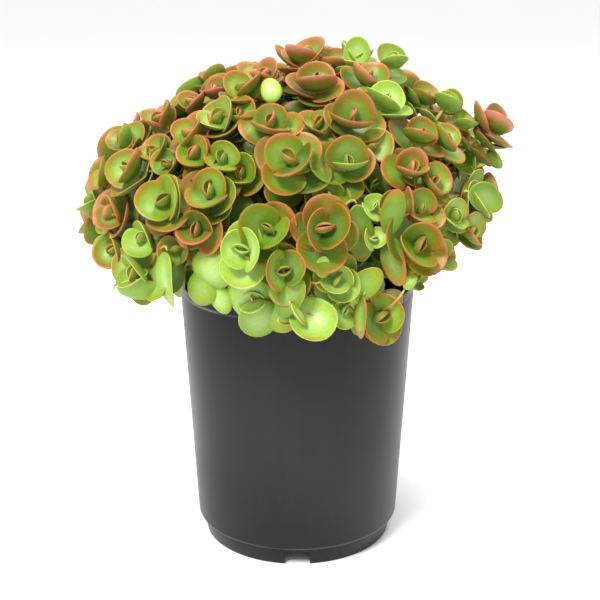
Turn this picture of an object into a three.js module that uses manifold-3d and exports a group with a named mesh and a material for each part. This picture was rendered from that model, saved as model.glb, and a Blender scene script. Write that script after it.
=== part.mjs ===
// A stonecrop (sedum) growing in a round plastic nursery pot.
// Millimetres, +Z up, front of the plant towards -Y, origin under the pot's axis on the surface it stands on.
import * as THREE from 'three';
import { mergeVertices } from 'three/addons/utils/BufferGeometryUtils.js';
import Module from 'manifold-3d';

// ---- driving dimensions: pot ----
const POT_HEIGHT = 137;
const RIM_RADIUS = 60;             // outside of the wall just under the rim band
const WALL_FOOT_RADIUS = 53.2;     // outside of the wall where it rounds in to the foot
const WALL_THICKNESS = 1.5;
const RIM_BAND_HEIGHT = 3.4;       // the slim upright band above the shoulder
const RIM_BAND_INSET = 0.8;
const FOOT_HEIGHT = 9.4;
const FOOT_INSET = 2.4;            // step from the wall in to the top of the foot ring
const FOOT_TAPER = 1.6;            // how much the foot ring narrows down to the ground
const FOOT_THICKNESS = 2.0;
const EDGE_ROUND = 2.0;          // rounding of the wall's lower edge
const FLOOR_THICKNESS = 1.8;
const DRAIN_COUNT = 4;
const DRAIN_WIDTH = 13;
const DRAIN_HEIGHT = 7.6;
const DRAIN_CORNER = 2.2;
const DRAIN_HOLE_RADIUS = 4.5;
const DRAIN_HOLE_CIRCLE = 33;      // distance of the floor holes from the pot's axis
const POT_FACETS = 40;

// ---- driving dimensions: potting soil ----
const SOIL_DROP = 12;              // soil surface below the rim
const CLEARANCE = 0.3;             // gap between touching pieces
const SOIL_FACETS = 20;

// ---- driving dimensions: plant ----
const CROWN_LIFT = 13;             // centre of the leafy dome above the rim
const CROWN_HALF_WIDTH = 106;
const CROWN_HALF_DEPTH = 102;
const CROWN_RISE = 100;
const STEM_RADIUS = 1.2;
const STEM_SIDES = 4;
const STEM_STEPS = 5;
const STEM_EDGE_ROOM = 5;          // outermost stems to the pot's inner wall
const RIM_OVERSHOOT = 1.6;         // how steeply outer stems rise before they arch over the rim
const LEAF_THICKNESS = 2.2;
const LEAF_POINTS = 6;
const LEAF_ROOT = 0.5;             // leaf base from the middle of the stem
const PAIR_SPACING = 2.6;          // along the stem, between one pair of leaves and the next
const UPRIGHT_SHARE = 0.35;        // how far rosettes lean from the dome's normal towards the light above

// Leaf pairs of a rosette from the bud outwards: opening from the axis (degrees), length and width as
// shares of the rosette's radius, depth of the cup as a share of the leaf's width.
const LEAF_PAIRS = [
  { open: 14, length: 0.55, width: 0.46, cup: 0.10 },
  { open: 50, length: 0.92, width: 0.86, cup: 0.16 },
  { open: 80, length: 1.00, width: 0.98, cup: 0.12 },
];
const SMALL_ROSETTE = 20;          // rosettes narrower than this have no third pair

// Shoots of the front and top: azimuth from the front towards +X and height angle on the dome (degrees),
// reach as a share of the dome's radius, rosette width (mm).
const FRONT_SHOOTS = [
  [20, 84, 1.03, 34], [11, 65, 0.99, 34], [46, 65.5, 1.00, 30], [68, 65, 1.08, 24], [-29, 61.5, 1.00, 30],
  [-52, 62, 1.00, 30], [20.5, 50.5, 1.00, 36], [-9.5, 50, 0.99, 32], [41, 55.5, 1.00, 30], [-30, 50, 1.00, 30],
  [-38.5, 44, 1.00, 30], [-63.5, 47.5, 1.00, 28], [-72.5, 38, 1.01, 30], [-2, 38, 1.02, 40], [15, 38, 0.99, 34],
  [34.5, 35, 1.00, 30], [84, 37, 1.12, 36], [57, 41, 1.00, 28], [-32, 39, 1.00, 30], [-54.5, 31.5, 1.01, 34],
  [-73.5, 26.5, 1.00, 28], [-23.5, 29.5, 1.00, 36], [-36, 25.5, 1.01, 36], [-55, 19.5, 1.01, 34], [-7, 21, 1.00, 36],
  [6.5, 21, 1.02, 38], [-25, 20, 1.00, 32], [-12.5, 16, 1.02, 30], [-3, 11.5, 1.00, 32], [30, 15.5, 1.01, 36],
  [41, 30.5, 0.99, 28], [46, 21, 0.98, 28], [60, 22, 0.99, 28], [-43, 6.5, 0.98, 36], [-62, 9.5, 0.96, 26],
  [9.5, 9, 0.98, 28], [21.5, -2.5, 0.92, 34], [2.5, -3, 0.94, 32], [-11, 2.5, 0.94, 34],
];

// Shoots of the back, in rings: height angle, first azimuth, step, how many, rosette width.
const BACK_RINGS = [
  { height: 9, first: 122, step: 24, count: 7, reach: 0.97, width: 36 },
  { height: 29, first: 104, step: 25.3, count: 7, reach: 1.00, width: 37 },
  { height: 51, first: 118, step: 40, count: 4, reach: 1.00, width: 36 },
  { height: 71, first: 180, step: 0, count: 1, reach: 1.00, width: 36 },
];

const POT_COLOUR = '#454547';
const SOIL_COLOUR = '#2b211a';
const GREEN = new THREE.Color('#7f9c3c');
const RUSSET = new THREE.Color('#a8674a');

const wasm = await Module();
wasm.setup();

const UP = new THREE.Vector3(0, 0, 1);
const radians = THREE.MathUtils.degToRad;

// ---- between three.js geometry and solids ----
function solidOf(geometry) {
  const bare = geometry.clone();
  bare.deleteAttribute('normal');
  bare.deleteAttribute('uv');
  const merged = mergeVertices(bare, 1e-4);
  const corners = merged.index.array;
  const kept = [];
  for (let i = 0; i < corners.length; i += 3) {
    const [a, b, c] = [corners[i], corners[i + 1], corners[i + 2]];
    if (a !== b && b !== c && c !== a) kept.push(a, b, c);
  }
  const vertProperties = new Float32Array(merged.attributes.position.array);
  return new wasm.Manifold(new wasm.Mesh({ numProp: 3, vertProperties, triVerts: new Uint32Array(kept) }));
}

function geometryOf(solid) {
  const mesh = solid.getMesh();
  const geometry = new THREE.BufferGeometry();
  geometry.setAttribute('position', new THREE.BufferAttribute(new Float32Array(mesh.vertProperties), 3));
  geometry.setIndex(new THREE.BufferAttribute(new Uint32Array(mesh.triVerts), 1));
  geometry.computeVertexNormals();
  return geometry;
}

function largestPiece(solid) {
  const pieces = solid.decompose();
  return pieces.reduce((best, piece) => (piece.volume() > best.volume() ? piece : best));
}

function coloured(colour, roughness) {
  return new THREE.MeshStandardMaterial({ color: colour, roughness, metalness: 0 });
}

function named(name, geometry, material) {
  const mesh = new THREE.Mesh(geometry, material);
  mesh.name = name;
  return mesh;
}

// A solid of revolution about +Z from [radius, height] points.
function turned(points, facets) {
  const lathe = new THREE.LatheGeometry(points.map(([r, z]) => new THREE.Vector2(r, z)), facets);
  lathe.rotateX(Math.PI / 2);
  return solidOf(lathe);
}

// ---- pot ----
const floorTop = FOOT_HEIGHT + FLOOR_THICKNESS;
const wallTop = POT_HEIGHT - RIM_BAND_HEIGHT;
const footTop = WALL_FOOT_RADIUS - FOOT_INSET;
const footBottom = footTop - FOOT_TAPER;
const soilTop = POT_HEIGHT - SOIL_DROP;

// Outside radius of the wall at a height; the wall is a straight cone.
function wallRadius(height) {
  const share = (height - FOOT_HEIGHT) / (wallTop - FOOT_HEIGHT);
  return THREE.MathUtils.lerp(WALL_FOOT_RADIUS, RIM_RADIUS, share);
}

// The wall's lower edge rounds in from the cone to the underside of the step.
function roundedEdge() {
  const round = Math.min(EDGE_ROUND, FOOT_INSET - 0.2);
  const centre = wallRadius(FOOT_HEIGHT + round) - round;
  return [0, 1, 2, 3].map((step) => {
    const angle = (Math.PI / 2) * (step / 3);
    return [centre + round * Math.sin(angle), FOOT_HEIGHT + round * (1 - Math.cos(angle))];
  });
}

// A round-cornered doorway through the front of the foot ring, where water runs out.
function drainNotch() {
  const half = DRAIN_WIDTH / 2;
  const top = DRAIN_HEIGHT - DRAIN_CORNER;
  const margin = 2;
  const outline = new THREE.Shape();
  outline.moveTo(-half, -margin);
  outline.lineTo(half, -margin);
  outline.lineTo(half, top);
  outline.absarc(half - DRAIN_CORNER, top, DRAIN_CORNER, 0, Math.PI / 2);
  outline.absarc(-half + DRAIN_CORNER, top, DRAIN_CORNER, Math.PI / 2, Math.PI);
  outline.lineTo(-half, -margin);
  const depth = FOOT_TAPER + FOOT_THICKNESS + 3 * margin;
  const notch = new THREE.ExtrudeGeometry(outline, { depth, bevelEnabled: false, curveSegments: 3 });
  notch.rotateX(Math.PI / 2);
  notch.translate(0, -(footBottom - FOOT_THICKNESS - 2 * margin), 0);
  return notch;
}

function potSolid() {
  const outline = [
    [0, FOOT_HEIGHT],
    [footTop - FOOT_THICKNESS, FOOT_HEIGHT],
    [footBottom - FOOT_THICKNESS, 0],
    [footBottom, 0],
    [footTop, FOOT_HEIGHT],
    ...roundedEdge(),
    [wallRadius(wallTop - 0.6), wallTop - 0.6],
    [RIM_RADIUS - 0.3, wallTop],
    [RIM_RADIUS - RIM_BAND_INSET, wallTop + 0.2],
    [RIM_RADIUS - RIM_BAND_INSET, POT_HEIGHT - 0.3],
    [RIM_RADIUS - RIM_BAND_INSET - 0.3, POT_HEIGHT],
    [RIM_RADIUS - WALL_THICKNESS, POT_HEIGHT],
    [wallRadius(floorTop) - WALL_THICKNESS, floorTop],
    [0, floorTop],
  ];
  let pot = turned(outline, POT_FACETS);
  const hole = new THREE.CylinderGeometry(DRAIN_HOLE_RADIUS, DRAIN_HOLE_RADIUS, 4 * FLOOR_THICKNESS, 16);
  hole.rotateX(Math.PI / 2);
  hole.translate(0, -DRAIN_HOLE_CIRCLE, floorTop);
  for (let i = 0; i < DRAIN_COUNT; i += 1) {
    const angle = (2 * Math.PI * i) / DRAIN_COUNT;
    pot = pot.subtract(solidOf(drainNotch().rotateZ(angle)));
    pot = pot.subtract(solidOf(hole.clone().rotateZ(angle)));
  }
  return pot;
}

// ---- potting soil ----
function innerRadius(height) {
  const share = (height - floorTop) / (POT_HEIGHT - floorTop);
  const bottom = wallRadius(floorTop) - WALL_THICKNESS;
  return THREE.MathUtils.lerp(bottom, RIM_RADIUS - WALL_THICKNESS, share);
}

function soilSolid() {
  const bottom = floorTop + CLEARANCE;
  // The faceted pot's flats lie closer in than its corners, so the soil is drawn in by that much too.
  const flats = Math.cos(Math.PI / POT_FACETS);
  const outline = [
    [0, bottom],
    [innerRadius(bottom) * flats - CLEARANCE, bottom],
    [innerRadius(soilTop) * flats - CLEARANCE, soilTop],
    [0, soilTop],
  ];
  return turned(outline, SOIL_FACETS);
}

// ---- plant ----
const crownCentre = new THREE.Vector3(0, 0, POT_HEIGHT + CROWN_LIFT);

function allPlaces() {
  const places = FRONT_SHOOTS.map(([azimuth, height, reach, width]) => ({ azimuth, height, reach, width }));
  for (const ring of BACK_RINGS) {
    for (let i = 0; i < ring.count; i += 1) {
      places.push({ ...ring, azimuth: ring.first + i * ring.step });
    }
  }
  return places;
}

// Where a shoot stands: tip on the dome, axis of its rosette, and the curve of its stem up from the soil.
function growShoot({ azimuth, height, reach, width }, index) {
  const around = radians(azimuth);
  const up = radians(height);
  const outward = new THREE.Vector3(Math.sin(around), -Math.cos(around), 0);
  const onUnit = outward.clone().multiplyScalar(Math.cos(up)).addScaledVector(UP, Math.sin(up));
  const size = new THREE.Vector3(CROWN_HALF_WIDTH, CROWN_HALF_DEPTH, CROWN_RISE);
  const tip = onUnit.clone().multiply(size).multiplyScalar(reach).add(crownCentre);
  const axis = onUnit.clone().divide(size).normalize().lerp(UP, UPRIGHT_SHARE).normalize();

  const room = innerRadius(soilTop) - STEM_EDGE_ROOM;
  const spread = Math.min(1, (90 - height) / 96) ** 0.9;
  const base = outward.clone().multiplyScalar(room * spread).setZ(soilTop + CLEARANCE);
  const rise = (SOIL_DROP + CROWN_LIFT) * RIM_OVERSHOOT;
  const rest = tip.distanceTo(base);
  const stem = new THREE.CubicBezierCurve3(
    base,
    base.clone().addScaledVector(UP, Math.max(rise, rest * 0.3)),
    tip.clone().addScaledVector(axis, -rest * 0.3),
    tip,
  );
  return { tip, axis, stem, radius: width / 2, turn: radians((index * 137.5) % 180) };
}

function stemSolid(shoot, radius) {
  const section = new THREE.Shape();
  for (let i = 0; i < STEM_SIDES; i += 1) {
    const angle = (2 * Math.PI * i) / STEM_SIDES;
    const point = [radius * Math.cos(angle), radius * Math.sin(angle)];
    if (i === 0) section.moveTo(...point);
    else section.lineTo(...point);
  }
  section.closePath();
  const settings = { steps: STEM_STEPS, extrudePath: shoot.stem, bevelEnabled: false };
  return solidOf(new THREE.ExtrudeGeometry(section, settings));
}

// One leaf: a thin lens with a rounded, slightly obovate outline and a shallow cup, growing along `along`
// with its upper face towards `face`.
function leafSolid(root, along, face, length, width, cup) {
  const leaf = new THREE.SphereGeometry(1, LEAF_POINTS, 2);
  const across = new THREE.Vector3().crossVectors(along, face);
  const position = leaf.attributes.position;
  for (let i = 0; i < position.count; i += 1) {
    const [x, y, z] = [position.getX(i), position.getY(i), position.getZ(i)];
    const inside = 1 - Math.min(1, x * x + z * z);
    const point = root.clone()
      .addScaledVector(along, length * ((x + 1) / 2) ** 0.85)
      .addScaledVector(across, (width / 2) * z)
      .addScaledVector(face, (LEAF_THICKNESS / 2) * y - cup * width * inside);
    position.setXYZ(i, point.x, point.y, point.z);
  }
  return solidOf(leaf);
}

function rosetteSolid({ tip, axis, radius, turn }) {
  const side = new THREE.Vector3().crossVectors(UP, axis);
  if (side.lengthSq() < 1e-4) side.set(1, 0, 0);
  side.normalize();
  const pairs = 2 * radius < SMALL_ROSETTE ? LEAF_PAIRS.slice(0, 2) : LEAF_PAIRS;
  const leaves = [];
  pairs.forEach((pair, level) => {
    for (const half of [0, 1]) {
      const around = turn + level * (Math.PI / 2) + half * Math.PI;
      const out = side.clone().applyAxisAngle(axis, around);
      const open = radians(pair.open);
      const along = out.clone().multiplyScalar(Math.sin(open)).addScaledVector(axis, Math.cos(open));
      const face = axis.clone().multiplyScalar(Math.sin(open)).addScaledVector(out, -Math.cos(open));
      const root = tip.clone().addScaledVector(axis, -0.6 - level * PAIR_SPACING);
      root.addScaledVector(out, LEAF_ROOT);
      leaves.push(leafSolid(root, along, face, pair.length * radius, pair.width * radius, pair.cup));
    }
  });
  return wasm.Manifold.union(leaves);
}

// Rosettes that meet are parted along the plane between them; the larger one keeps more.
function partedFrom(rosette, shoot, others) {
  let solid = rosette;
  for (const other of others) {
    const towards = other.tip.clone().sub(shoot.tip);
    const apart = towards.length();
    if (apart >= 1.25 * (shoot.radius + other.radius)) continue;
    towards.normalize();
    const lean = (shoot.radius ** 2 - other.radius ** 2) / (2 * apart * apart);
    const share = THREE.MathUtils.clamp(0.5 + lean, 0.34, 0.66);
    const offset = shoot.tip.dot(towards) + share * apart - CLEARANCE / 2;
    solid = solid.trimByPlane([-towards.x, -towards.y, -towards.z], -offset);
  }
  return solid;
}

// Room for the stems of other shoots that pass through a rosette's leaves.
function clearedOfStems(rosette, shoot, others) {
  let solid = rosette;
  for (const other of others) {
    const nearest = Math.min(...other.stem.getPoints(24).map((point) => point.distanceTo(shoot.tip)));
    if (nearest > shoot.radius * 1.3) continue;
    solid = solid.subtract(stemSolid(other, STEM_RADIUS + 2 * CLEARANCE));
  }
  return solid;
}

function shootSolid(shoot, shoots, potSpace) {
  const others = shoots.filter((other) => other !== shoot);
  let rosette = partedFrom(rosetteSolid(shoot), shoot, others);
  rosette = clearedOfStems(rosette, shoot, others).subtract(potSpace);
  return largestPiece(rosette.add(stemSolid(shoot, STEM_RADIUS)));
}

// ---- the potted plant ----
const plant = new THREE.Group();
plant.add(named('pot', geometryOf(potSolid()), coloured(POT_COLOUR, 0.42)));
plant.add(named('potting_soil', geometryOf(soilSolid()), coloured(SOIL_COLOUR, 0.95)));

// The pot's whole outside, which leaves hang clear of.
const potSpace = turned([
  [0, 0],
  [RIM_RADIUS + CLEARANCE, 0],
  [RIM_RADIUS + CLEARANCE, POT_HEIGHT + CLEARANCE],
  [0, POT_HEIGHT + CLEARANCE],
], POT_FACETS);
const shoots = allPlaces().map(growShoot);
shoots.forEach((shoot, index) => {
  const name = `shoot_${String(index + 1).padStart(2, '0')}`;
  const russet = THREE.MathUtils.clamp((shoot.tip.z - crownCentre.z) / CROWN_RISE, 0, 1);
  const colour = GREEN.clone().lerp(RUSSET, 0.6 * russet);
  plant.add(named(name, geometryOf(shootSolid(shoot, shoots, potSpace)), coloured(colour, 0.36)));
});

export default plant;
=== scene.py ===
import math
import random

import bmesh
import bpy
import numpy as np
from mathutils import Matrix, Vector, noise


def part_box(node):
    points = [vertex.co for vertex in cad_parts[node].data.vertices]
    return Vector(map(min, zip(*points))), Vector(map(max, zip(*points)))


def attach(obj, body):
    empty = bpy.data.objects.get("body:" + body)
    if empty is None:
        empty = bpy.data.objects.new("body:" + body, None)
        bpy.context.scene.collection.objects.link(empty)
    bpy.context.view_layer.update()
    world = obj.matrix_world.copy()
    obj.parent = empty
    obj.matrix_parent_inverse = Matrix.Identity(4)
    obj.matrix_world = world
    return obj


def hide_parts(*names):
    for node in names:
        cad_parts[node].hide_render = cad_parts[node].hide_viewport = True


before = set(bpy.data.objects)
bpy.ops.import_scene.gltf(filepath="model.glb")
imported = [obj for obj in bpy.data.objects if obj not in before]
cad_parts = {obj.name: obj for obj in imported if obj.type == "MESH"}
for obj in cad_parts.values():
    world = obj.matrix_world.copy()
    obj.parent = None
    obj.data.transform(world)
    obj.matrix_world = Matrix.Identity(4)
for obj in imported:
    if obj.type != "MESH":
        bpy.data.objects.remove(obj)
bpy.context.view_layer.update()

MM = 0.001
UP = Vector((0, 0, 1))

# ---- the pot's own sizes ----
POT_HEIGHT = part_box("pot")[1][2]
RIM_RADIUS = 60 * MM
WALL_FOOT_RADIUS = 53.2 * MM
WALL_THICKNESS = 1.5 * MM
RIM_BAND_HEIGHT = 3.4 * MM
RIM_BAND_INSET = 0.8 * MM
SHOULDER_DROP = 0.9 * MM
SOFT_EDGE = 0.5 * MM
FOOT_HEIGHT = 9.4 * MM
FOOT_INSET = 2.4 * MM
FOOT_TAPER = 1.6 * MM
FOOT_THICKNESS = 2.0 * MM
EDGE_ROUND = 2.0 * MM
FLOOR_THICKNESS = 1.8 * MM
DRAIN_COUNT = 4
DRAIN_WIDTH = 13 * MM
DRAIN_HEIGHT = 7.6 * MM
DRAIN_CORNER = 2.2 * MM
DRAIN_HOLE_RADIUS = 4.5 * MM
DRAIN_HOLE_CIRCLE = 33 * MM
SPIN_STEPS = 160
SOIL_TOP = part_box("potting_soil")[1][2]

# Painted highlight bands on the pot's edges, broken into patches: middle height, half height, and how pale
# the band is.
PAINTED_HIGHLIGHT_BANDS = [
    (POT_HEIGHT - RIM_BAND_HEIGHT - 0.1 * MM, 0.45 * MM, 0.8),
    (POT_HEIGHT, 0.25 * MM, 0.35),
    (FOOT_HEIGHT + 0.9 * MM, 0.5 * MM, 0.12),
]

# ---- the crown ----
CROWN_LIFT = 13 * MM
CROWN_SIZE = Vector((106, 102, 100)) * MM
CROWN_CENTRE = Vector((0, 0, POT_HEIGHT + CROWN_LIFT))
STEM_RADIUS = 1.2 * MM
STEM_EDGE_ROOM = 5 * MM      # from the pot's inside to the outermost stem
RIM_OVERSHOOT = 1.6          # how far past the rim a stem rises before it bows out
UPRIGHT_SHARE = 0.08         # how much a rosette leans from the crown's own slope to the upright
LEAF_THICKNESS = 1.5 * MM

# Shoots of the front and top: azimuth from the front towards +X and height angle on the crown
# (degrees), reach as a share of the crown's radius, rosette width (mm), turn of the bud (degrees),
# and how sun-reddened and how lime-green the leaves are (0 to 1).
FRONT_SHOOTS = [
    (20, 84, 0.99, 34, 20, 0.85, 0.0),
    (11, 65, 0.99, 34, 70, 0.75, 0.0),
    (46, 65.5, 1.00, 30, 0, 0.60, 0.1),
    (68, 65, 1.08, 24, 60, 0.15, 0.4),
    (-29, 61.5, 1.00, 30, 10, 0.60, 0.2),
    (-50, 62, 0.97, 27, 120, 0.85, 0.0),
    (20.5, 50.5, 1.00, 36, 75, 0.60, 0.1),
    (-9.5, 50, 0.99, 32, 90, 0.55, 0.2),
    (41, 55.5, 1.00, 30, 20, 0.10, 0.8),
    (-30, 50, 1.00, 30, 45, 0.40, 0.3),
    (-38.5, 44, 1.00, 30, 0, 0.70, 0.1),
    (-63.5, 47.5, 0.98, 28, 60, 0.70, 0.1),
    (-72.5, 38, 1.01, 30, 60, 0.60, 0.2),
    (-2, 38, 1.02, 40, -35, 0.65, 0.1),
    (15, 38, 0.99, 34, 90, 0.35, 0.2),
    (34.5, 35, 1.00, 30, 70, 0.70, 0.0),
    (84, 37, 1.12, 36, 20, 0.80, 0.0),
    (57, 41, 1.00, 28, 0, 0.55, 0.1),
    (-32, 39, 1.00, 30, 60, 0.55, 0.1),
    (-54.5, 31.5, 1.01, 34, 10, 0.40, 0.3),
    (-73.5, 26.5, 1.00, 28, 50, 0.55, 0.2),
    (-23.5, 29.5, 1.00, 36, 85, 0.45, 0.2),
    (-36, 25.5, 1.01, 36, 40, 0.50, 0.2),
    (-55, 19.5, 1.01, 34, 75, 0.75, 0.1),
    (-7, 21, 1.00, 36, -30, 0.45, 0.0),
    (6.5, 21, 1.02, 38, 0, 0.55, 0.1),
    (-25, 20, 1.00, 32, 80, 0.60, 0.1),
    (-12.5, 16, 1.02, 34, 0, 0.10, 1.0),
    (-3, 11.5, 1.00, 32, 10, 0.45, 0.1),
    (30, 15.5, 1.01, 36, 60, 0.60, 0.0),
    (41, 30.5, 0.99, 28, 30, 0.55, 0.1),
    (46, 21, 0.98, 28, 80, 0.35, 0.4),
    (60, 22, 0.99, 28, 20, 0.15, 0.5),
    (-43, 6.5, 0.98, 36, 80, 0.25, 0.6),
    (-62, 9.5, 0.96, 26, 30, 0.30, 0.5),
    (9.5, 9, 0.98, 28, 60, 0.20, 0.6),
    (21.5, -2.5, 0.92, 34, 25, 0.40, 0.3),
    (2.5, -3, 0.94, 17, 60, 0.10, 0.9),
    (-11, 2.5, 0.92, 18, 90, 0.05, 1.0),
]

# Shoots of the back, in rings: height angle, first azimuth and step between shoots (degrees), how many,
# reach and rosette width (mm).
BACK_RINGS = [
    (9, 122, 24, 7, 0.97, 36),
    (29, 104, 25.3, 7, 1.00, 37),
    (51, 118, 40, 4, 0.95, 33),
    (71, 180, 0, 1, 0.97, 30),
]

# Side shoots: the shoot that carries them, then the same values as above.
SIDE_SHOOTS = [
    (7, 8, 50.5, 0.98, 26, 40, 0.50, 0.3),
    (10, -24, 53, 0.97, 24, 90, 0.50, 0.2),
    (11, -53.5, 55, 0.98, 24, 30, 0.75, 0.1),
    (5, -23.5, 69.5, 0.99, 26, 60, 0.80, 0.0),
    (1, 60, 78.5, 0.98, 26, 20, 0.70, 0.1),
    (3, 80, 74.5, 1.01, 32, 90, 0.10, 0.9),
    (18, 76.5, 48.5, 1.04, 20, 0, 0.25, 0.4),
    (16, 45.5, 43.5, 0.99, 30, 40, 0.60, 0.1),
    (9, 26, 43, 0.96, 22, 10, 0.40, 0.3),
    (19, -22.5, 38.5, 0.99, 24, 80, 0.45, 0.2),
    (13, -51.5, 38, 0.98, 26, 50, 0.55, 0.1),
    (23, -44, 36, 0.96, 26, 0, 0.45, 0.1),
    (16, 21, 26.5, 0.97, 17, 45, 0.05, 0.9),
    (26, 19.5, 18.5, 0.98, 14, 0, 0.20, 0.8),
    (31, 35, 24.5, 0.97, 28, 60, 0.55, 0.1),
    (30, 26.5, 26, 0.97, 24, 90, 0.45, 0.2),
    (27, -32, 14.5, 0.96, 22, 20, 0.55, 0.1),
    (34, -43.5, 15.5, 0.97, 24, 70, 0.15, 0.5),
    (35, -54.5, 10.5, 0.97, 24, 40, 0.35, 0.4),
    (30, 38.5, 12, 0.97, 28, 80, 0.35, 0.3),
    (37, 12, 0.5, 0.94, 20, 50, 0.15, 0.7),
    (15, 9, 30, 0.93, 28, 90, 0.15, 0.2),
    (8, -18, 37, 0.92, 26, 70, 0.20, 0.1),
    (17, 84, 29.5, 1.04, 15, 0, 0.20, 0.3),
    (21, -87, 25, 0.99, 28, 20, 0.60, 0.1),
    (21, -84, 12, 0.89, 26, 60, 0.45, 0.3),
    (33, 54, 15.5, 0.95, 28, 40, 0.40, 0.3),
    (4, 81, 54, 0.99, 28, 0, 0.50, 0.2),
    (33, 76, 8, 0.64, 24, 30, 0.25, 0.4),
    (40, 96, 3, 0.64, 26, 70, 0.35, 0.3),
    (40, 110, 7, 0.78, 26, 20, 0.40, 0.3),
    (17, 80, 42, 1.03, 22, 40, 0.45, 0.3),
    (16, 26.5, 34, 0.86, 24, 30, 0.20, 0.2),
    (30, 37, 5, 0.84, 18, 40, 0.20, 0.4),
    (32, 50, 13, 0.82, 20, 10, 0.25, 0.4),
    (26, 15.5, 15, 0.86, 20, 0, 0.10, 0.2),
    (58, -100, 66, 0.88, 32, 20, 0.55, 0.1),
    (58, -138, 62, 0.94, 34, 70, 0.50, 0.2),
    (58, -122, 75, 0.90, 30, 0, 0.50, 0.1),
    (57, -112, 56, 0.92, 32, 50, 0.45, 0.2),
    (58, 140, 62, 0.94, 30, 40, 0.50, 0.2),
    (58, 150, 74, 1.01, 26, 20, 0.80, 0.0),
    (58, -80, 79, 0.92, 30, 60, 0.70, 0.1),
    (54, 112, 58, 0.92, 28, 80, 0.35, 0.4),
]

# Leaf pairs of a rosette from the bud outwards: opening from the axis and roll-in of sides and tip
# (degrees), length as a share of the rosette's radius, width as a share of the length, and distance
# below the tip (mm). Small rosettes have only the first three, a little longer.
LEAF_PAIRS = [
    (24, 60, 62, 0.27, 1.05, -0.4),
    (46, 50, 58, 0.58, 1.12, 0.6),
    (66, 36, 40, 1.10, 1.26, 2.3),
    (82, 28, 24, 1.24, 1.12, 5.0),
]
SMALL_ROSETTE = 24
SMALL_ROSETTE_SCALE = 1.2

# Pairs on the stem under a rosette: distance of the first and spacing, and how many a main stem and a
# side stem bear, on no more than this share of the stem.
FIRST_STEM_PAIR = 9 * MM
STEM_PAIR_SPACING = 7.5 * MM
STEM_PAIRS = 5
SIDE_STEM_PAIRS = 2
LEAFY_SHARE = 0.75

# Where side stems and the stalks of single leaves leave the stem that carries them.
BRANCHING = 0.62
STALK_START = 0.86

# Leaves that stand alone on a stalk: the shoot that carries them, the place of the leaf's middle as
# above, length and width (mm), the azimuth and elevation its face looks to, its tip's turn clockwise
# from upright, the roll-in of its sides and tip (degrees), and how red and how lime-green it is.
SOLE_LEAVES = [
    (39, -12, 3, 0.96, 28, 24, -10, 5, 172, -24, -30, 0, 0.8),
    (39, -9, -3, 0.95, 24, 22, 10, -10, 160, -20, -20, 0.05, 0.35),
    (38, 4, -3, 0.97, 27, 26, 10, 22, 155, 46, 48, 0, 0.85),
    (38, 0, 1, 1.04, 13, 7, 70, 20, 160, 25, 15, 0.3, 0.7),
    (38, -1, 5, 1.01, 23, 12, -20, 10, 32, 10, 12, 0.1, 0.3),
    (28, -21.5, 10.5, 1.00, 23, 22, -15, -5, -75, -22, -24, 0, 0.65),
    (39, -20, 2, 0.94, 17, 12, -20, 0, 165, -15, -20, 0, 0.5),
    (27, -24.5, 5, 0.96, 18, 17, -20, 10, 185, -10, -10, 0.1, 0.2),
    (38, -4, -1, 0.93, 20, 18, -5, 10, 180, -10, -10, 0.1, 0.2),
    (29, 6, 12.5, 1.01, 11, 8, 10, 10, 0, 30, 20, 0, 0.9),
    (37, 28, 7, 1.00, 10, 7, 20, 30, 40, 30, 20, 0, 0.7),
    (34, -33, 6.5, 1.03, 28, 15, -50, 12, 180, 20, -35, 0.1, 0.5),
    (34, -42, 1, 1.00, 24, 18, 165, 35, -100, 20, 15, 0, 0.6),
    (33, 59, 23, 1.04, 20, 16, 25, 15, 115, 8, 10, 0.25, 0.3),
    (33, 64, 28.5, 1.00, 11, 9, 30, 0, 30, 10, 10, 0.1, 0.2),
    (18, 82, 48.5, 1.07, 15, 14, 0, 5, 5, 25, 20, 0.35, 0.3),
    (18, 84, 51.5, 1.00, 14, 5, 80, 10, -20, 15, -15, 0.2, 0.4),
    (8, -11, 58, 1.08, 13, 11, 0, 10, -10, -18, -24, 0, 1),
    (3, 72, 74.5, 1.08, 16, 16, -5, 15, 5, 34, 34, 0, 1),
    (4, 78, 63.5, 1.04, 12, 8, 0, 40, 130, 20, -25, 0.1, 0.5),
    (9, 60, 58, 0.99, 9, 8, 60, 20, 60, 20, 15, 0, 0.9),
    (23, -31, 27.5, 1.05, 22, 10, -55, 10, 5, 20, 25, 0.5, 0.3),
    (30, 24.5, 24.5, 1.04, 23, 12, 0, 5, 10, 8, 10, 0.45, 0.1),
    (30, 30.5, 26, 1.03, 18, 8, -60, 0, 5, 15, 10, 0.9, 0),
    (30, 24, 12.5, 1.00, 25, 12, -10, 15, 165, 10, -15, 0.4, 0.2),
    (26, 16.5, 20, 0.97, 28, 14, 10, 10, 175, 10, -10, 0.1, 0),
    (37, 16.5, 7.5, 0.98, 21, 14, 10, 5, 55, 10, 10, 0.1, 0.1),
    (37, 15, -1, 1.00, 21, 9, -50, 10, 180, 12, -15, 0.35, 0.4),
    (17, 84, 32.5, 1.08, 16, 9, 0, 88, 100, 10, -10, 0.6, 0.1),
]


# ---- finishes ----
class Value:
    """A number that varies over a surface: a node's output that takes part in sums."""

    def __init__(self, finish, socket):
        self.finish, self.socket = finish, socket

    def _sum(self, operation, first, second=0.0):
        return self.finish.node("ShaderNodeMath", {"operation": operation}, {0: first, 1: second})

    def __add__(self, other):
        return self._sum("ADD", self, other)

    def __radd__(self, other):
        return self._sum("ADD", other, self)

    def __sub__(self, other):
        return self._sum("SUBTRACT", self, other)

    def __rsub__(self, other):
        return self._sum("SUBTRACT", other, self)

    def __mul__(self, other):
        return self._sum("MULTIPLY", self, other)

    def __rmul__(self, other):
        return self._sum("MULTIPLY", other, self)


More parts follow.
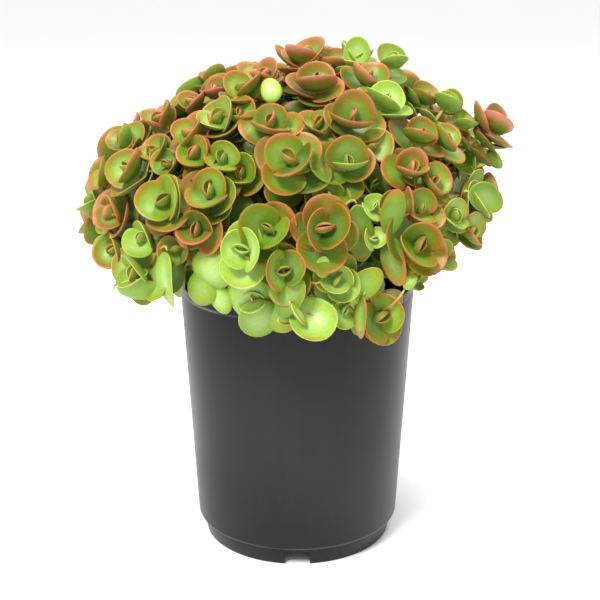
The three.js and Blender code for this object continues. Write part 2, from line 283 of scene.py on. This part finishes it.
class Finish:
    """A material whose Principled shader is fed by expressions."""

    def __init__(self, name, **constants):
        self.material = bpy.data.materials.new(name)
        self.material.use_nodes = True
        self.tree = self.material.node_tree
        self.shader = self.tree.nodes["Principled BSDF"]
        for socket, value in constants.items():
            self.shader.inputs[socket.replace("_", " ")].default_value = value

    def node(self, kind, settings=None, sockets=None, output=0):
        made = self.tree.nodes.new(kind)
        for name, value in (settings or {}).items():
            setattr(made, name, value)
        for key, value in (sockets or {}).items():
            if isinstance(value, Value):
                self.tree.links.new(value.socket, made.inputs[key])
            else:
                made.inputs[key].default_value = value
        return Value(self, made.outputs[output])

    def feed(self, **sockets):
        for name, value in sockets.items():
            self.tree.links.new(value.socket, self.shader.inputs[name.replace("_", " ")])

    def place(self):
        return self.node("ShaderNodeTexCoord", output="Object")

    def noise(self, scale, detail=3.0, roughness=0.55, place=None):
        sockets = {"Vector": place or self.place(), "Scale": scale, "Detail": detail, "Roughness": roughness}
        return self.node("ShaderNodeTexNoise", sockets=sockets)

    def attribute(self, name):
        """The three numbers that a mesh keeps as one colour attribute."""
        split = self.node("ShaderNodeAttribute", {"attribute_name": name}, output="Color")
        parts = self.node("ShaderNodeSeparateColor", sockets={0: split})
        return [Value(self, parts.socket.node.outputs[i]) for i in range(3)]

    def step(self, value, low, high):
        """0 below the low value, 1 above the high one, and a smooth rise between."""
        sockets = {"Value": value, "From Min": low, "From Max": high}
        return self.node("ShaderNodeMapRange", {"interpolation_type": "SMOOTHSTEP"}, sockets)

    def mix(self, share, first, second, blend="MIX"):
        """A colour between two colours, or one laid over the other by a blend."""
        first, second = [c if isinstance(c, Value) else (*c, 1) for c in (first, second)]
        settings = {"data_type": "RGBA", "blend_type": blend}
        return self.node("ShaderNodeMix", settings, {0: share, 6: first, 7: second}, output=2)

    def bump(self, height, distance, strength=1.0):
        sockets = {"Height": height, "Distance": distance, "Strength": strength}
        return self.node("ShaderNodeBump", sockets=sockets)


DEEP_GREEN = (0.034, 0.085, 0.002)
LEAF_GREEN = (0.133, 0.250, 0.004)
OLIVE_GREEN = (0.235, 0.245, 0.004)
LIME_GREEN = (0.285, 0.455, 0.050)
PALE_GREEN = (0.500, 0.660, 0.270)
GLAUCOUS = (0.170, 0.285, 0.048)
BRONZE = (0.280, 0.100, 0.008)
CORAL = (0.450, 0.060, 0.022)
BLUSH_PINK = (0.530, 0.195, 0.130)
PALE_MARGIN = (0.600, 0.620, 0.180)
MOTTLE_SHADE = (0.020, 0.030, 0.000)
# Multiplied into the leaves low on the stems as painted shade.
PAINTED_DEPTH_SHADE = (0.400, 0.500, 0.300)
YOUNG_STEM = (0.400, 0.400, 0.080)
ORANGE_STEM = (0.400, 0.200, 0.030)
OLD_STEM = (0.120, 0.055, 0.018)
PLASTIC_DARK = (0.009, 0.009, 0.009)
PLASTIC_LIGHT = (0.012, 0.012, 0.013)
PLASTIC_SCUFF = (0.070, 0.070, 0.070)
# The pale colour of the painted highlight bands on the pot's rim and bottom edge.
PLASTIC_PAINTED_HIGHLIGHT = (0.300, 0.300, 0.310)
WET_PEAT = (0.010, 0.007, 0.005)
DRY_PEAT = (0.060, 0.036, 0.022)
BARK_CRUMB = (0.110, 0.055, 0.028)
PERLITE = (0.620, 0.600, 0.550)


def sedum_flesh():
    """Waxy leaf: green, reddening from its edge inwards, with a thin margin, and painted shade on the leaves
    low on the stems; old stems turn brown.
    """
    flesh = Finish(
        "sedum_flesh", Subsurface_Weight=0.08, Subsurface_Scale=0.002, Specular_IOR_Level=0.34,
        Specular_Tint=(0.95, 1.0, 0.70, 1.0))
    edge, along, upper = flesh.attribute("growth")
    blush, lime, tone = flesh.attribute("tint")
    # The third number is painted shade: the leaves low on the stems are darkened.
    woody, depth, shade = flesh.attribute("age_and_painted_shade")
    cloud = flesh.noise(75, 2)
    mottle = flesh.noise(620, 4, 0.6)
    speck = flesh.noise(2600, 2)

    cloudy = cloud - 0.5
    mottled = mottle - 0.5
    green = flesh.mix(flesh.step(tone + 0.5 * cloudy, 0.0, 0.9), DEEP_GREEN, LEAF_GREEN)
    green = flesh.mix(flesh.step(along + cloud, 0.9, 1.6) * 0.6, green, OLIVE_GREEN)
    green = flesh.mix(lime, green, LIME_GREEN)
    heart = flesh.step(1 - edge, 0.1, 0.9) * (0.10 + 0.45 * lime)
    green = flesh.mix(heart * upper, green, PALE_GREEN)
    green = flesh.mix((1 - upper) * 0.6, green, GLAUCOUS)

    creep = edge + 0.25 * along + 1.3 * cloudy + 0.85 * (blush - 0.5) + 0.12 * mottled
    skin = flesh.mix(flesh.step(creep, 0.62, 1.28) * 0.78, green, BRONZE)
    skin = flesh.mix(flesh.step(creep, 1.0, 1.6) * (0.8 - 0.35 * upper), skin, BLUSH_PINK)
    margin = flesh.step(edge + 0.06 * mottled, 0.93, 1.0)
    rim = flesh.mix(flesh.step(blush + 0.5 * cloudy - 0.5 * lime, 0.0, 0.4), PALE_MARGIN, CORAL)
    skin = flesh.mix(margin * flesh.step(cloud, 0.25, 0.6) * 0.85, skin, rim)
    skin = flesh.mix(flesh.step(mottle, 0.35, 0.75) * 0.14, skin, MOTTLE_SHADE, "MULTIPLY")
    # Painted shade: darkens the leaves of the lower stem pairs.
    skin = flesh.mix(shade, skin, PAINTED_DEPTH_SHADE, "MULTIPLY")

    bark = flesh.mix(flesh.step(depth + 0.3 * cloudy, 0.0, 0.35), YOUNG_STEM, ORANGE_STEM)
    bark = flesh.mix(flesh.step(depth + 0.4 * cloudy, 0.3, 0.9), bark, OLD_STEM)
    skin = flesh.mix(woody, skin, bark)
    flesh.feed(
        Base_Color=skin,
        Roughness=0.30 + 0.14 * mottle + 0.10 * (1 - upper) + 0.20 * woody,
        Normal=flesh.bump(mottle * 0.7 + speck * 0.3, 0.0002, 0.5),
    )
    return flesh.material


def painted_edge_highlights(plastic, height, cloud):
    """Painted highlights on the pot: pale bands on the rim's shoulder and lip, and on the wall's bottom edge,
    broken into patches by noise.
    """
    painted_highlight = 0
    for middle, half, share in PAINTED_HIGHLIGHT_BANDS:
        band = plastic.step(height, middle - 1.5 * half, middle - 0.5 * half)
        painted_highlight = band * (1 - plastic.step(height, middle + 0.5 * half, middle + 1.5 * half)) * share + painted_highlight
    return painted_highlight * plastic.step(cloud, 0.25, 0.55)


def pot_plastic():
    """Satin charcoal plastic with a fine moulded grain, faint drag lines up the wall and painted highlight
    bands on its edges.
    """
    plastic = Finish("pot_plastic", Specular_IOR_Level=0.24)
    place = plastic.place()
    tall = plastic.node("ShaderNodeMapping", sockets={"Vector": place, "Scale": (1, 1, 0.06)})
    drag = plastic.noise(260, 3, place=tall)
    cloud = plastic.noise(28, 3)
    grain = plastic.noise(2400, 3)
    scuff = plastic.step(plastic.noise(90, 6, 0.75), 0.66, 0.8)
    height = plastic.node("ShaderNodeSeparateXYZ", sockets={0: place}, output=2)
    # Painted highlights: pale bands on the rim's shoulder and lip and on the wall's bottom edge.
    painted_highlight = painted_edge_highlights(plastic, height, cloud)
    shade = plastic.mix(plastic.step(cloud * 0.6 + drag * 0.4, 0.3, 0.7), PLASTIC_DARK, PLASTIC_LIGHT)
    scuffed = plastic.mix(scuff * 0.2, shade, PLASTIC_SCUFF)
    plastic.feed(
        Base_Color=plastic.mix(painted_highlight, scuffed, PLASTIC_PAINTED_HIGHLIGHT),
        Roughness=0.29 + 0.10 * drag + 0.12 * scuff,
        Normal=plastic.bump(grain * 0.5 + drag * 0.5, 0.00012, 0.5),
    )
    return plastic.material


def potting_mix():
    """Crumbly dark mix; the grain attribute makes some crumbs bark and some pale perlite."""
    mix = Finish("potting_mix", Specular_IOR_Level=0.2)
    kind, _, _ = mix.attribute("grain")
    crumb = mix.noise(420, 5, 0.7)
    peat = mix.mix(mix.step(crumb, 0.35, 0.7), WET_PEAT, DRY_PEAT)
    bark = mix.mix(mix.step(kind, 0.45, 0.8), peat, BARK_CRUMB)
    mix.feed(
        Base_Color=mix.mix(mix.step(kind, 0.94, 0.96), bark, PERLITE),
        Roughness=0.8 + 0.15 * crumb,
        Normal=mix.bump(crumb, 0.0008, 0.9),
    )
    return mix.material


# ---- making pieces ----
def finished(name, form, material, smooth_below):
    """Turns a bmesh into a piece that rides on the body and wears one material."""
    mesh = bpy.data.meshes.new(name)
    form.normal_update()
    form.to_mesh(mesh)
    form.free()
    mesh.shade_smooth()
    mesh.set_sharp_from_angle(angle=math.radians(smooth_below))
    mesh.materials.append(material)
    piece = bpy.data.objects.new(name, mesh)
    bpy.context.scene.collection.objects.link(piece)
    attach(piece, "root")
    return piece


# ---- the pot ----
WALL_TOP = POT_HEIGHT - RIM_BAND_HEIGHT
FLOOR_TOP = FOOT_HEIGHT + FLOOR_THICKNESS
FOOT_TOP_RADIUS = WALL_FOOT_RADIUS - FOOT_INSET
FOOT_BOTTOM_RADIUS = FOOT_TOP_RADIUS - FOOT_TAPER


def wall_radius(height):
    share = (height - FOOT_HEIGHT) / (WALL_TOP - FOOT_HEIGHT)
    return WALL_FOOT_RADIUS + (RIM_RADIUS - WALL_FOOT_RADIUS) * share


def arc(centre, radius, start, end, steps):
    """Points of a round stretch of an outline, from one angle to another (degrees)."""
    angles = [math.radians(start + (end - start) * i / steps) for i in range(steps + 1)]
    return [(centre[0] + radius * math.cos(a), centre[1] + radius * math.sin(a)) for a in angles]


def pot_outline():
    """Half a section through the pot, from the middle of the floor's underside round to its top."""
    band = RIM_RADIUS - RIM_BAND_INSET
    inner = RIM_RADIUS - WALL_THICKNESS
    edge = (wall_radius(FOOT_HEIGHT + EDGE_ROUND) - EDGE_ROUND, FOOT_HEIGHT + EDGE_ROUND)
    shoulder = WALL_TOP - SHOULDER_DROP
    lip = (band - inner) / 2
    foot_inside = FOOT_BOTTOM_RADIUS - FOOT_THICKNESS
    floor_edge = wall_radius(FLOOR_TOP) - WALL_THICKNESS
    points = [(0, FOOT_HEIGHT), (FOOT_TOP_RADIUS - FOOT_THICKNESS, FOOT_HEIGHT)]
    points += [(foot_inside + SOFT_EDGE, SOFT_EDGE)]
    points += arc((foot_inside + 2 * SOFT_EDGE, SOFT_EDGE), SOFT_EDGE, 225, 270, 2)
    points += arc((FOOT_BOTTOM_RADIUS - SOFT_EDGE, SOFT_EDGE), SOFT_EDGE, 270, 345, 4)
    points += [(FOOT_TOP_RADIUS - 0.1 * MM, FOOT_HEIGHT - SOFT_EDGE)]
    points += [(FOOT_TOP_RADIUS + SOFT_EDGE, FOOT_HEIGHT)]
    points += arc(edge, EDGE_ROUND, 270, 360, 8)[1:]
    points += [(wall_radius(shoulder), shoulder), (wall_radius(shoulder) - 0.15 * MM, shoulder + 0.4 * MM)]
    points += [(band + 0.12 * MM, WALL_TOP + 0.2 * MM), (band, WALL_TOP + 0.5 * MM)]
    points += arc((band - lip, POT_HEIGHT - lip), lip, 0, 180, 8)
    points += [(floor_edge, FLOOR_TOP + SOFT_EDGE), (floor_edge - SOFT_EDGE, FLOOR_TOP), (0, FLOOR_TOP)]
    return points


def drain_cutters():
    """Round-cornered doorways for the foot ring and round holes for the floor."""
    form = bmesh.new()
    length = 4 * (FOOT_TAPER + FOOT_THICKNESS)
    tall = 2 * DRAIN_HEIGHT
    for i in range(DRAIN_COUNT):
        turn = Matrix.Rotation(2 * math.pi * i / DRAIN_COUNT, 4, "Z")
        place = Matrix.Translation((0, -FOOT_BOTTOM_RADIUS, 0))
        block = place @ Matrix.Diagonal((DRAIN_WIDTH, length, tall, 1))
        made = bmesh.ops.create_cube(form, size=1, matrix=block)["verts"]
        upper = [e for e in {e for v in made for e in v.link_edges} if all(v.co.z > 0 for v in e.verts)]
        corners = [e for e in upper if abs(e.verts[0].co.x - e.verts[1].co.x) < 0.001 * MM]
        rounded = bmesh.ops.bevel(
            form, geom=corners, offset=DRAIN_CORNER, segments=5, profile=0.5, affect="EDGES", material=-1)
        whole = {v for v in made if v.is_valid} | set(rounded["verts"])
        bmesh.ops.transform(form, matrix=turn, verts=list(whole))
        hole = Matrix.Translation((0, -DRAIN_HOLE_CIRCLE, FLOOR_TOP))
        bmesh.ops.create_cone(
            form, cap_ends=True, segments=32, radius1=DRAIN_HOLE_RADIUS, radius2=DRAIN_HOLE_RADIUS,
            depth=6 * FLOOR_THICKNESS, matrix=turn @ hole)
    mesh = bpy.data.meshes.new("drain_cutters")
    form.to_mesh(mesh)
    form.free()
    return bpy.data.objects.new("drain_cutters", mesh)


def make_pot(material):
    form = bmesh.new()
    outline = [form.verts.new((radius, 0, height)) for radius, height in pot_outline()]
    edges = [form.edges.new(pair) for pair in zip(outline, outline[1:])]
    bmesh.ops.spin(
        form, geom=outline + edges, cent=(0, 0, 0), axis=(0, 0, 1), angle=2 * math.pi, steps=SPIN_STEPS,
        use_merge=True)
    bmesh.ops.remove_doubles(form, verts=form.verts, dist=0.01 * MM)
    bmesh.ops.recalc_face_normals(form, faces=form.faces)
    pot = finished("nursery_pot", form, material, 32)
    cutters = drain_cutters()
    bpy.context.scene.collection.objects.link(cutters)
    cut = pot.modifiers.new("drains", "BOOLEAN")
    cut.operation, cut.solver, cut.object = "DIFFERENCE", "EXACT", cutters
    evaluated = pot.evaluated_get(bpy.context.evaluated_depsgraph_get())
    pot.data = bpy.data.meshes.new_from_object(evaluated)
    pot.modifiers.clear()
    bpy.data.objects.remove(cutters)
    pot.data.set_sharp_from_angle(angle=math.radians(32))
    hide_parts("pot")


# ---- the potting mix ----
SOIL_TOP_RADIUS = RIM_RADIUS - WALL_THICKNESS - 1.6 * MM
SOIL_BASE_RADIUS = wall_radius(FLOOR_TOP) - WALL_THICKNESS - 0.6 * MM
SOIL_RINGS = (0.93, 0.82, 0.68, 0.52, 0.36, 0.2, 0.08)
CRUMB_COUNT = 900


def soil_body(form):
    """A tapered plug of mix, its top and bottom closed by rings, its top uneven."""
    body = Matrix.Translation((0, 0, (SOIL_TOP + FLOOR_TOP) / 2 + 0.15 * MM))
    bmesh.ops.create_cone(
        form, cap_ends=False, segments=96, radius1=SOIL_BASE_RADIUS, radius2=SOIL_TOP_RADIUS,
        depth=SOIL_TOP - FLOOR_TOP - 0.4 * MM, matrix=body)
    rim = [e for e in form.edges if e.is_boundary]
    for height, end_radius in ((SOIL_TOP, SOIL_TOP_RADIUS), (FLOOR_TOP, SOIL_BASE_RADIUS)):
        ring = [e for e in rim if e.is_valid and abs(e.verts[0].co.z - height) < 1 * MM]
        for share in SOIL_RINGS:
            grown = bmesh.ops.extrude_edge_only(form, edges=ring)["geom"]
            ring = [g for g in grown if isinstance(g, bmesh.types.BMEdge) and g.is_boundary]
            for vert in {v for e in ring for v in e.verts}:
                outward = Vector((vert.co.x, vert.co.y)).normalized()
                vert.co.x, vert.co.y = outward * (end_radius * share)
        bmesh.ops.edgenet_fill(form, edges=ring)
    for vert in form.verts:
        if vert.co.z > SOIL_TOP - 1 * MM:
            vert.co.z += 1.6 * MM * noise.noise(vert.co * 90) + 0.8 * MM * noise.noise(vert.co * 300)


def soil_crumb(form, kind, draw):
    """One lump on the mix's surface; the number it keeps makes it peat, bark or perlite."""
    radius = SOIL_TOP_RADIUS * 0.965 * math.sqrt(draw.random())
    angle = draw.uniform(0, 2 * math.pi)
    size = draw.uniform(0.5, 1.7) * MM
    spot = Vector((radius * math.cos(angle), radius * math.sin(angle), SOIL_TOP + 0.3 * size))
    shape = Matrix.Diagonal((size, size * draw.uniform(0.6, 1), size * draw.uniform(0.4, 0.9), 1))
    turn = Matrix.Rotation(draw.uniform(0, 6.3), 4, "Z")
    tip_over = Matrix.Rotation(draw.uniform(-0.6, 0.6), 4, "X")
    place = Matrix.Translation(spot) @ (turn @ tip_over) @ shape
    crumb = bmesh.ops.create_icosphere(form, subdivisions=1, radius=1, matrix=place)
    sort = draw.random()
    for vert in crumb["verts"]:
        vert.co += 0.25 * size * noise.noise_vector(vert.co * 900)
        vert[kind] = (sort, 0, 0, 1)


def make_soil(material, draw):
    form = bmesh.new()
    kind = form.verts.layers.float_color.new("grain")
    soil_body(form)
    for vert in form.verts:
        vert[kind] = (0, 0, 0, 1)
    for _ in range(CRUMB_COUNT):
        soil_crumb(form, kind, draw)
    bmesh.ops.recalc_face_normals(form, faces=form.faces)
    soil = finished("potting_mix", form, material, 50)
    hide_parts("potting_soil")


# ---- the plant ----
def turned_towards(axis):
    """Two directions square to an axis: the level one, and the one that completes the frame."""
    level = UP.cross(axis)
    level = level.normalized() if level.length > 0.01 else Vector((1, 0, 0))
    return level, axis.cross(level)


class Curve:
    """A cubic Bezier curve of a stem."""

    def __init__(self, *corners):
        self.corners = [Vector(c) for c in corners]

    def point(self, t):
        a, b, c, d = self.corners
        return a * (1 - t) ** 3 + b * (3 * t * (1 - t) ** 2) + c * (3 * t * t * (1 - t)) + d * t ** 3

    def heading(self, t):
        return (self.point(min(1, t + 0.01)) - self.point(max(0, t - 0.01))).normalized()

    def length(self):
        points = [self.point(i / 20) for i in range(21)]
        return sum((b - a).length for a, b in zip(points, points[1:]))


def crown_place(azimuth, height, reach):
    """Tip and axis of a rosette on the crown, and the level direction it lies in from the middle."""
    around, up = math.radians(azimuth), math.radians(height)
    outward = Vector((math.sin(around), -math.cos(around), 0))
    unit = outward * math.cos(up) + UP * math.sin(up)
    tip = CROWN_CENTRE + reach * Vector(u * s for u, s in zip(unit, CROWN_SIZE))
    normal = Vector(u / s for u, s in zip(unit, CROWN_SIZE)).normalized()
    return tip, normal.lerp(UP, UPRIGHT_SHARE).normalized(), outward


def main_stem(azimuth, height, reach):
    """A stem that roots in the mix, rises past the rim and bows out to its place on the crown."""
    tip, axis, outward = crown_place(azimuth, height, reach)
    room = RIM_RADIUS - WALL_THICKNESS - 0.6 * MM - STEM_EDGE_ROOM
    base = outward * room * min(1, (90 - height) / 96) ** 0.9 + UP * (SOIL_TOP - 1 * MM)
    rise = (POT_HEIGHT - SOIL_TOP + CROWN_LIFT) * RIM_OVERSHOOT
    rest = (tip - base).length
    return Curve(base, base + UP * max(rise, 0.3 * rest), tip - axis * 0.3 * rest, tip)


def side_stem(carrier, azimuth, height, reach):
    """A stem that leaves the one that carries it and ends at its own place on the crown."""
    tip, axis, _ = crown_place(azimuth, height, reach)
    start = carrier.point(BRANCHING)
    rest = (tip - start).length
    return Curve(start, start + carrier.heading(BRANCHING) * 0.35 * rest, tip - axis * 0.4 * rest, tip)


def round_ball(around, rings):
    """A ball's mesh, its poles the middles of a leaf's two faces, ready to be pressed into leaves."""
    form = bmesh.new()
    bmesh.ops.create_uvsphere(form, u_segments=around, v_segments=rings, radius=1)
    ball = bpy.data.meshes.new("ball")
    form.to_mesh(ball)
    form.free()
    return ball


LEAF_BALL = round_ball(12, 6)


class ShootForm:
    """One shoot's mesh as it grows: stems and leaves, with the attributes that colour them."""

    def __init__(self, draw):
        self.form = bmesh.new()
        self.growth = self.form.verts.layers.float_color.new("growth")
        self.tint = self.form.verts.layers.float_color.new("tint")
        # Woodiness and age of the stems, and the painted shade of the leaves.
        self.age_and_painted_shade = self.form.verts.layers.float_color.new("age_and_painted_shade")
        self.draw = draw

    def stem(self, curve, thick, thin, steps=14, sides=9):
        """A stem, a little swollen at its joints, closed at both ends. Tint keeps each side's angle."""
        ring = None
        for i in range(steps + 1):
            t = i / steps
            heading = curve.heading(t)
            level, square = turned_towards(heading)
            swell = 1 + 0.14 * (i % 2)
            radius = (thick + (thin - thick) * t) * swell * (0.75 if i == steps else 1)
            if ring is None:
                made = bmesh.ops.create_circle(self.form, segments=sides, radius=1, cap_ends=True)
                ring = made["verts"]
                edges = list({e for v in ring for e in v.link_edges})
            else:
                grown = bmesh.ops.extrude_edge_only(self.form, edges=edges)["geom"]
                ring = [g for g in grown if isinstance(g, bmesh.types.BMVert)]
                edges = [g for g in grown if isinstance(g, bmesh.types.BMEdge) and g.is_boundary]
            centre = curve.point(t)
            for vert in ring:
                if i == 0:
                    vert[self.tint] = (math.atan2(vert.co.y, vert.co.x), 0, 0, 1)
                angle = vert[self.tint][0]
                vert.co = centre + (level * math.cos(angle) + square * math.sin(angle)) * radius
                vert[self.age_and_painted_shade] = (1, 1 - t, 0, 1)
        bmesh.ops.edgenet_fill(self.form, edges=edges)

    def leaf(self, root, along, face, length, width, cup, curl, blush, lime, shade=0.0):
        """A fleshy round leaf: a ball pressed thin, drawn to its outline, dished, rolled and curled."""
        draw = self.draw
        grown = len(self.form.verts)
        self.form.from_mesh(LEAF_BALL)
        self.form.verts.ensure_lookup_table()
        verts = self.form.verts[grown:]
        ball = np.array([v.co for v in verts])
        a, b, side = ball[:, 0], ball[:, 1], ball[:, 2]
        r = np.sqrt(a * a + b * b)
        t = np.clip((a + 1) / 2, 0, 1) ** 1.1

        # the outline: narrower at the stalk and a little wavy
        wave, ripple = draw.uniform(0, 6.28), draw.uniform(0.02, 0.06)
        around = np.arctan2(b, a)
        narrow = 1 - 0.12 * np.clip(-a, 0, 1) ** 1.5
        x = length * t * (1 + 0.5 * ripple * np.sin(2 * around + wave))
        y = width / 2 * b * narrow * (1 + ripple * np.sin(3 * around + wave))

        # the flesh: thickest near the stalk, round at the edge, the blade dished and faintly rippled
        plump = LEAF_THICKNESS / 2 * min(1, 0.55 + length / (30 * MM)) * (1.3 - 0.4 * t)
        z = plump * np.sign(side) * np.clip(1 - r ** 5, 0, 1) ** 0.5
        z = z + width * r ** 3 * (0.05 * math.copysign(1, cup) + 0.6 * ripple * np.sin(2 * around + 2 * wave))

        # the sides rolled in, then the tip curled in
        roll = np.radians(cup) * (0.8 + 0.4 * t)
        bow = width / 2 / roll
        lean = y / bow
        y, z = (bow - z) * np.sin(lean), bow - (bow - z) * np.cos(lean)
        bow = length / math.radians(curl)
        lean = x / bow
        x, z = (bow - z) * np.sin(lean), bow - (bow - z) * np.cos(lean)

        # in place on the stem, with the leaf's own tint
        across = face.cross(along)
        tone = draw.uniform(0.1, 0.9)
        red = min(1, max(0, blush + draw.uniform(-0.16, 0.16)))
        pale = min(1, max(0, lime + draw.uniform(-0.12, 0.12)))
        for i, vert in enumerate(verts):
            vert.co = root + along * x[i] + across * y[i] + face * z[i]
            vert[self.growth] = (r[i], t[i], 1 if side[i] > 0 else (0.5 if side[i] == 0 else 0), 1)
            vert[self.tint] = (red, pale, tone, 1)
            # The third number is the leaf's painted shade.
            vert[self.age_and_painted_shade] = (0, 0, shade, 1)

    def pair(self, spot, axis, turn, opening, cup, curl, length, width, blush, lime, shade=0.0):
        """Two leaves on opposite sides of a stem."""
        draw = self.draw
        level, square = turned_towards(axis)
        for half in (0, math.pi):
            around = turn + half + draw.uniform(-0.2, 0.2)
            out = level * math.cos(around) + square * math.sin(around)
            open_by = math.radians(opening * draw.uniform(0.88, 1.10))
            along = out * math.sin(open_by) + axis * math.cos(open_by)
            face = axis * math.sin(open_by) - out * math.cos(open_by)
            face.rotate(Matrix.Rotation(draw.uniform(-0.2, 0.2), 3, along))
            size = draw.uniform(0.86, 1.08)
            clasp = 0.4 * MM - (0.15 * length if opening > 40 else 0)
            self.leaf(
                spot + out * clasp, along, face, length * size, width * size,
                cup * draw.uniform(0.85, 1.15), curl * draw.uniform(0.75, 1.25), blush, lime, shade)

    def rosette(self, curve, width, turn, blush, lime, below):
        """The leafy end of a stem, then wider-spaced pairs on the stem under it, darkened with painted shade
        the lower they sit.
        """
        tip, axis = curve.point(1), curve.heading(1)
        radius = width / 2 * MM
        levels = LEAF_PAIRS if width > SMALL_ROSETTE else LEAF_PAIRS[:3]
        scale = 1 if width > SMALL_ROSETTE else SMALL_ROSETTE_SCALE
        turn = math.radians(turn)
        for k, (opening, cup, curl, length, share, drop) in enumerate(levels):
            size = length * radius * scale
            self.pair(
                tip - axis * drop * MM, axis, turn + k * math.pi / 2, opening, cup, curl,
                size, size * share, blush, lime)
        run = curve.length()
        for k in range(below):
            away = FIRST_STEM_PAIR + k * STEM_PAIR_SPACING
            if away > LEAFY_SHARE * run:
                break
            t = 1 - away / run
            size = radius * (1.12 - 0.03 * k)
            # The last number is painted shade, deeper on each lower pair.
            self.pair(
                curve.point(t), curve.heading(t), turn + (k + len(levels)) * math.pi / 2, 84 + 6 * k,
                20, 12 - 9 * k, size, size * 1.02, 0.75 * blush - 0.12 * k, lime * 0.8, 0.25 + 0.2 * k)

    def sole_leaf(self, carrier, azimuth, height, reach, length, width, look, raised, turn, *form_and_tint):
        """One leaf on its own stalk."""
        middle, _, _ = crown_place(azimuth, height, reach)
        around, up = math.radians(look), math.radians(raised)
        face = Vector((math.sin(around) * math.cos(up), -math.cos(around) * math.cos(up), math.sin(up)))
        upright = (UP - face * face.dot(UP)).normalized()
        turn = math.radians(turn)
        along = upright * math.cos(turn) + upright.cross(face) * math.sin(turn)
        root = middle - along * length / 2 * MM
        start = carrier.point(STALK_START)
        rest = (root - start).length
        leaving = start + carrier.heading(STALK_START) * 0.4 * rest
        stalk = Curve(start, leaving, root - along * 0.35 * rest, root + along * 0.8 * MM)
        self.stem(stalk, STEM_RADIUS * 0.7, STEM_RADIUS * 0.45, steps=8)
        self.leaf(root, along, face, length * MM, width * MM, *form_and_tint)


def back_places(draw):
    """The hidden side's shoots, with looks drawn at random, each with three side shoots."""
    mains, sides = [], []
    for height, first, step, count, reach, width in BACK_RINGS:
        for i in range(count):
            azimuth = first + i * step
            looks = (draw.uniform(0, 180), draw.uniform(0.2, 0.45) + height / 200, draw.uniform(0, 0.5))
            mains.append((azimuth, height, reach, width, *looks))
            number = len(FRONT_SHOOTS) + len(mains)
            for way, rise in ((-1, -0.7), (1, 1), (-0.9, 0.8)):
                spot = (azimuth + way * draw.uniform(10, 14), height + draw.uniform(8, 13) * rise)
                looks = (draw.uniform(0, 180), draw.uniform(0.2, 0.5) + height / 200, draw.uniform(0, 0.6))
                sides.append((number, *spot, draw.uniform(0.94, 0.99), draw.uniform(22, 30), *looks))
    return mains, sides


def make_shoots(material):
    mains, sides = back_places(random.Random(7))
    for number, (azimuth, height, reach, width, turn, blush, lime) in enumerate(FRONT_SHOOTS + mains, 1):
        shoot = ShootForm(random.Random(number))
        stem = main_stem(azimuth, height, reach)
        shoot.stem(stem, STEM_RADIUS * 1.15, STEM_RADIUS * 0.85)
        shoot.rosette(stem, width, turn, blush, lime, STEM_PAIRS)
        for carrier, azimuth, height, reach, width, turn, blush, lime in SIDE_SHOOTS + sides:
            if carrier == number:
                branch = side_stem(stem, azimuth, height, reach)
                shoot.stem(branch, STEM_RADIUS * 0.85, STEM_RADIUS * 0.7, steps=8)
                shoot.rosette(branch, width, turn, blush, lime, SIDE_STEM_PAIRS)
        for carrier, *leaf in SOLE_LEAVES:
            if carrier == number:
                shoot.sole_leaf(stem, *leaf)
        bmesh.ops.recalc_face_normals(shoot.form, faces=shoot.form.faces)
        node = f"shoot_{number:02d}"
        piece = finished(f"leafy_{node}", shoot.form, material, 180)
        smooth = piece.modifiers.new("smooth", "SUBSURF")
        smooth.levels = smooth.render_levels = 1
        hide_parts(node)


# ---- studio ----
FLOOR_HALF_WIDTH = 6
CAMERA_PLACE = Vector((1.4, -595, 309)) * MM
CAMERA_TILT_DOWN = 17.1


def make_floor():
    form = bmesh.new()
    bmesh.ops.create_grid(form, x_segments=1, y_segments=1, size=FLOOR_HALF_WIDTH)
    mesh = bpy.data.meshes.new("floor")
    form.to_mesh(mesh)
    form.free()
    floor = bpy.data.objects.new("floor", mesh)
    paper = Finish("pale_floor", Roughness=0.9)
    paper.feed(Base_Color=paper.mix(paper.noise(3, 2), (0.92, 0.92, 0.92), (0.94, 0.94, 0.94)))
    mesh.materials.append(paper.material)
    bpy.context.scene.collection.objects.link(floor)


def make_light(name, spot, target, size, power):
    lamp = bpy.data.lights.new(name, "AREA")
    lamp.shape, lamp.size, lamp.energy = "DISK", size, power
    light = bpy.data.objects.new(name, lamp)
    light.location = spot
    light.rotation_euler = (Vector(target) - Vector(spot)).to_track_quat("-Z", "Y").to_euler()
    bpy.context.scene.collection.objects.link(light)


def make_studio():
    world = bpy.data.worlds.new("studio")
    world.use_nodes = True
    sky = world.node_tree.nodes["Background"]
    sky.inputs["Color"].default_value = (1, 1, 1, 1)
    sky.inputs["Strength"].default_value = 1.0
    bpy.context.scene.world = world
    make_light("key", (-0.5, -0.9, 1.3), (0, 0, 0.15), 0.5, 26)
    make_light("top", (0.3, 0.1, 1.4), (0, 0, 0.2), 0.6, 14)
    bpy.context.scene.view_settings.view_transform = "Standard"


def make_camera():
    lens = bpy.data.cameras.new("camera")
    lens.lens, lens.sensor_width, lens.clip_start = 72, 36, 0.01
    camera = bpy.data.objects.new("camera", lens)
    camera.location = CAMERA_PLACE
    camera.rotation_euler = (math.radians(90 - CAMERA_TILT_DOWN), 0, 0)
    bpy.context.scene.collection.objects.link(camera)
    bpy.context.scene.camera = camera


make_camera()
make_studio()
make_floor()
make_pot(pot_plastic())
make_soil(potting_mix(), random.Random(3))
make_shoots(sedum_flesh())
